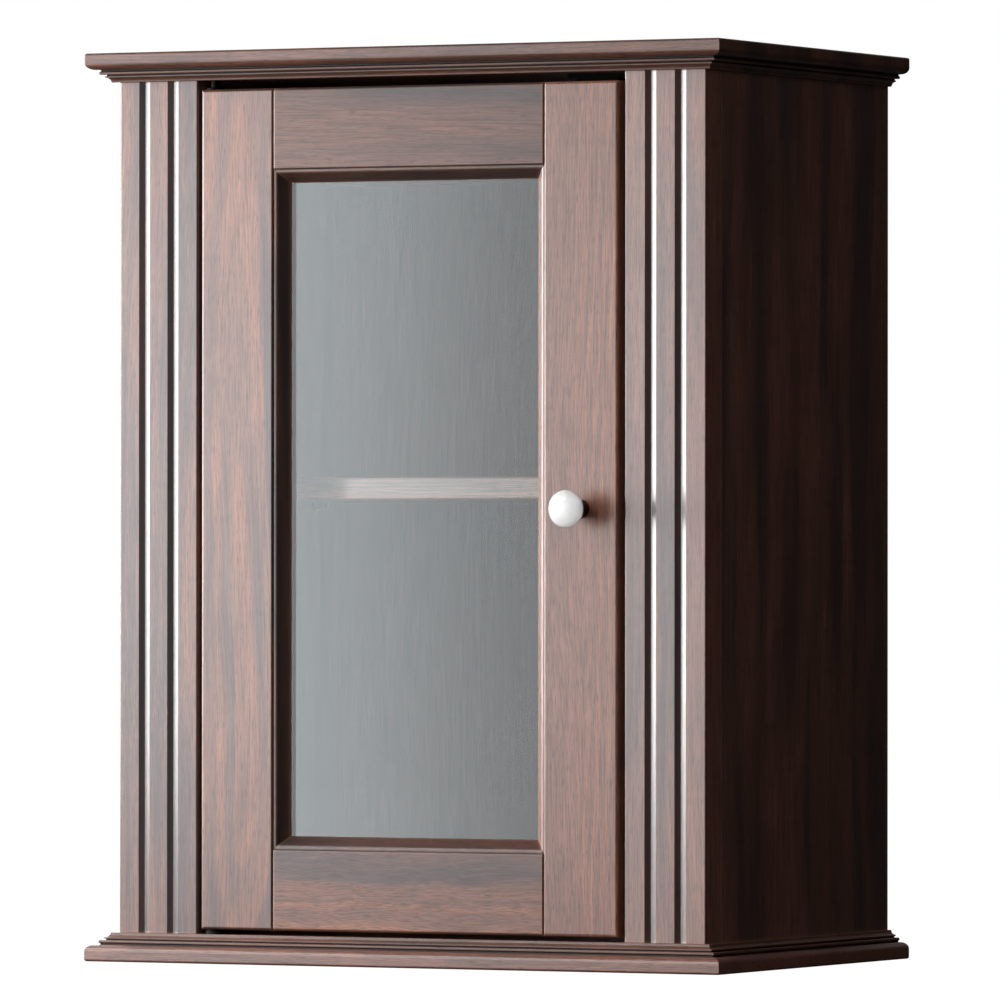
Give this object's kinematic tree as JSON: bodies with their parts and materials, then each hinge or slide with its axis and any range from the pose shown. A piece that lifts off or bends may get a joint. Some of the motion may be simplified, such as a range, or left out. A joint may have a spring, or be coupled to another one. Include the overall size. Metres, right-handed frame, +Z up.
{
  "type": "bathroom wall cabinet",
  "caption": "Wall-hung stained pine cabinet with a side-hinged glazed door between fluted pilasters, moulded top and base boards, an inner shelf and a porcelain knob.",
  "frame": {"origin": "on the wall plane, midway between the two wall screw holes", "axes": "+Z up, +Y into the wall, +X to the right of a viewer who faces the door"},
  "size_m": [0.465, 0.311, 0.6],
  "materials": {
    "stained_pine": "dark brown stain, satin lacquer",
    "back_board": "stained plywood, matt",
    "beech_dowel": "raw, fluted",
    "clear_glass": "clear, polished",
    "porcelain": "white gloss glaze",
    "dark_bronze": "darkened, satin",
    "hinge_brass": "antique brown, satin",
    "zinc_steel": "zinc plated",
    "black_plastic": "moulded, matt",
    "magnet_steel": "ground",
    "nylon": "black"
  },
  "bodies": {
    "cabinet": {"top_board": "stained_pine", "base_board": "stained_pine", "side_panel_left": "stained_pine", "side_panel_right": "stained_pine", "pilaster_left": "stained_pine", "pilaster_right": "stained_pine", "hanging_rail": "stained_pine", "shelf": "stained_pine", "back_panel": "back_board", "carcass_dowels": "beech_dowel", "pilaster_dowels": "beech_dowel", "rail_dowels": "beech_dowel", "back_screws": "zinc_steel", "hinge_screws": "zinc_steel", "catch_screws": "zinc_steel", "shelf_pins": "zinc_steel", "hinge_plate_top": "hinge_brass", "hinge_plate_bottom": "hinge_brass", "hinge_washer": "nylon", "catch_body": "black_plastic", "catch_magnet": "magnet_steel"},
    "door": {"door_stile_left": "stained_pine", "door_stile_right": "stained_pine", "door_rail_top": "stained_pine", "door_rail_bottom": "stained_pine", "door_dowels": "beech_dowel", "glass_pane": "clear_glass", "glazing_bead_left": "stained_pine", "glazing_bead_right": "stained_pine", "glazing_bead_top": "stained_pine", "glazing_bead_bottom": "stained_pine", "bead_pins": "zinc_steel", "hinge_bush_top": "hinge_brass", "hinge_bush_bottom": "hinge_brass", "knob_stem": "dark_bronze", "knob_head": "porcelain", "knob_screw": "zinc_steel", "strike_plate": "zinc_steel", "strike_screw": "zinc_steel"}
  },
  "joints": [
    {"name": "door_hinge", "type": "hinge", "parent": "cabinet", "child": "door", "pos_m": [-0.146, -0.276, -0.2525], "axis": [0, 0, -1], "range_deg": [0, 105]}
  ]
}
